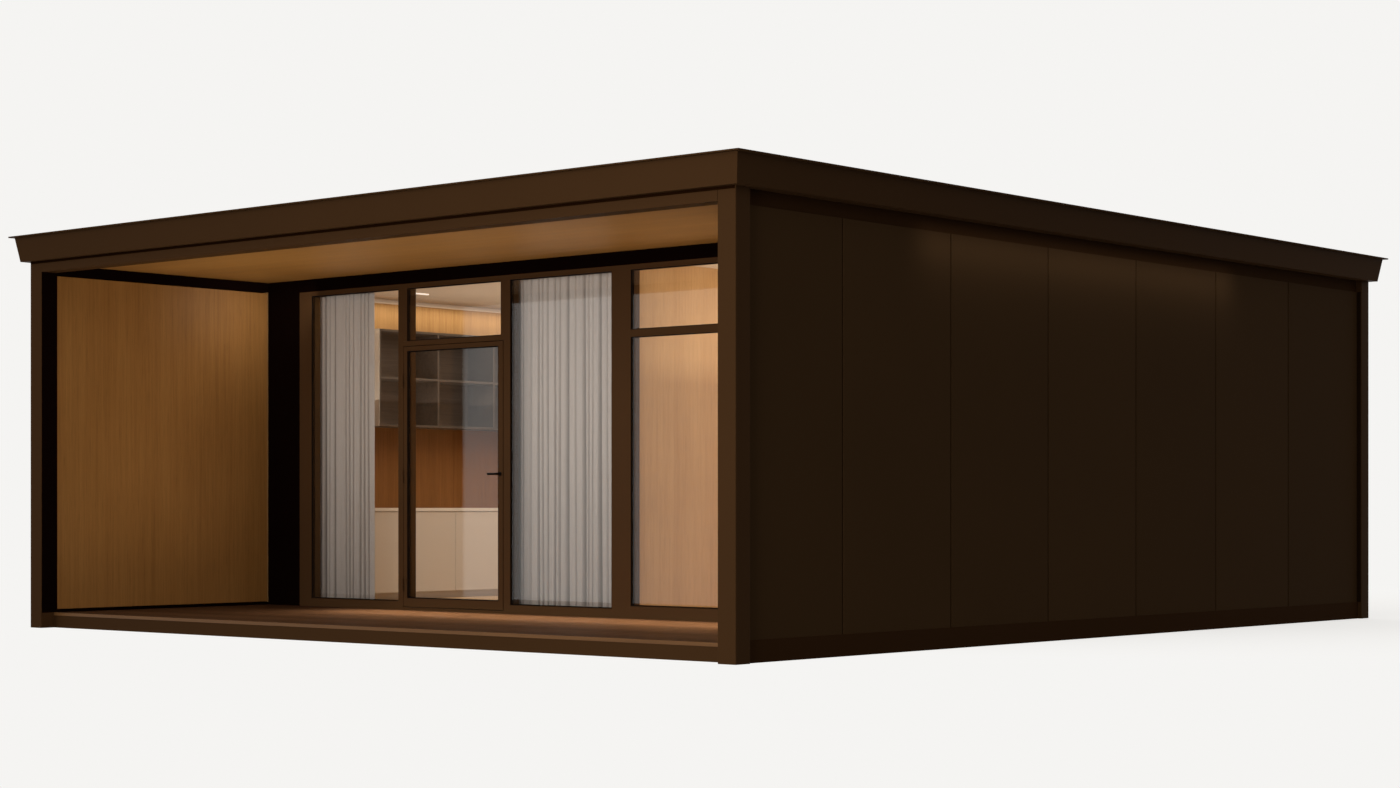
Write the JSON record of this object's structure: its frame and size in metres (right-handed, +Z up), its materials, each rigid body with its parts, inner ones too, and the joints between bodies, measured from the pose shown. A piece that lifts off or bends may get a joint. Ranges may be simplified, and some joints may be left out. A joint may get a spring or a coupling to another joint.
{
  "type": "capsule house",
  "caption": "Flat-roofed modular cabin with dark metal cladding, a slanted cornice, a deep covered timber-lined porch and full-height glazing with a hinged glass door.",
  "frame": {"origin": "middle of the footprint at ground level", "axes": "+X right along the front, +Y from the porch to the rear wall, +Z up"},
  "size_m": [7.544, 8.744, 3.1],
  "materials": {
    "bronze_frame": "satin dark bronze powder coat",
    "dark_frame": "satin near-black brown powder coat",
    "cladding": "satin dark bronze sheet",
    "roof_sheet": "matt grey-brown standing-seam sheet",
    "glazing_frame": "dark bronze coated extrusion",
    "black_metal": "satin black",
    "floor_wood": "oiled oak boards",
    "deck_wood": "dark oiled decking",
    "edge_wood": "pale oiled edge strip",
    "lining_wood": "oak veneer, satin lacquer",
    "ceiling_wood": "oak veneer, satin lacquer",
    "room_wood": "warm oak veneer",
    "partition_wood": "pale oak veneer",
    "ceiling_paint": "matt warm white paint",
    "glass": "clear double glazing",
    "curtain_cloth": "pleated linen-look curtain",
    "cupboard": "cream lacquered board",
    "worktop": "pale solid surface",
    "shelf_wood": "dark stained board"
  },
  "bodies": {
    "house": {"corner_posts": "bronze_frame", "end_base_beams": "bronze_frame", "side_base_rails": "bronze_frame", "end_top_beams": "bronze_frame", "side_top_beams": "dark_frame", "glazing_header": "dark_frame", "end_cornices": "bronze_frame", "side_cornices": "bronze_frame", "roof_deck": "roof_sheet", "floor_slab": "dark_frame", "room_floor": "floor_wood", "porch_deck": "deck_wood", "deck_edge_trim": "edge_wood", "left_wall_cladding": "cladding", "right_wall_cladding": "cladding", "rear_wall_cladding": "cladding", "left_porch_lining": "lining_wood", "right_porch_lining": "lining_wood", "left_room_wall": "room_wood", "right_room_wall": "room_wood", "rear_room_wall": "room_wood", "porch_ceiling": "ceiling_wood", "room_ceiling": "ceiling_paint", "partition_wall": "partition_wood", "glazing_piers": "dark_frame", "glazing_head": "glazing_frame", "glazing_mullions": "glazing_frame", "glazing_sills": "glazing_frame", "transom_bars": "glazing_frame", "window_glass": "glass", "door_stops": "glazing_frame", "hinge_pins": "black_metal", "curtain_track": "ceiling_paint", "left_curtain": "curtain_cloth", "middle_curtain": "curtain_cloth", "kitchen_cupboards": "cupboard", "cupboard_fronts": "cupboard", "kitchen_worktop": "worktop", "kitchen_splashback": "room_wood", "shelf_boards": "shelf_wood", "shelf_uprights": "shelf_wood", "shelf_back": "shelf_wood"},
    "door": {"door_leaf": "glazing_frame", "door_glass": "glass", "door_roses": "black_metal", "door_hinges": "black_metal"},
    "lever": {"door_lever": "black_metal"}
  },
  "joints": [
    {"name": "door_swing", "type": "hinge", "parent": "house", "child": "door", "pos_m": [-1.7955, -1.97, 1.2], "axis": [0, 0, -1], "range_deg": [0, 90]},
    {"name": "lever_turn", "type": "hinge", "parent": "door", "child": "lever", "pos_m": [-0.68, -1.9325, 1.216], "axis": [0, -1, 0], "range_deg": [0, 40], "stiffness_Nm_per_rad": 1, "springref_deg": -34.38}
  ]
}
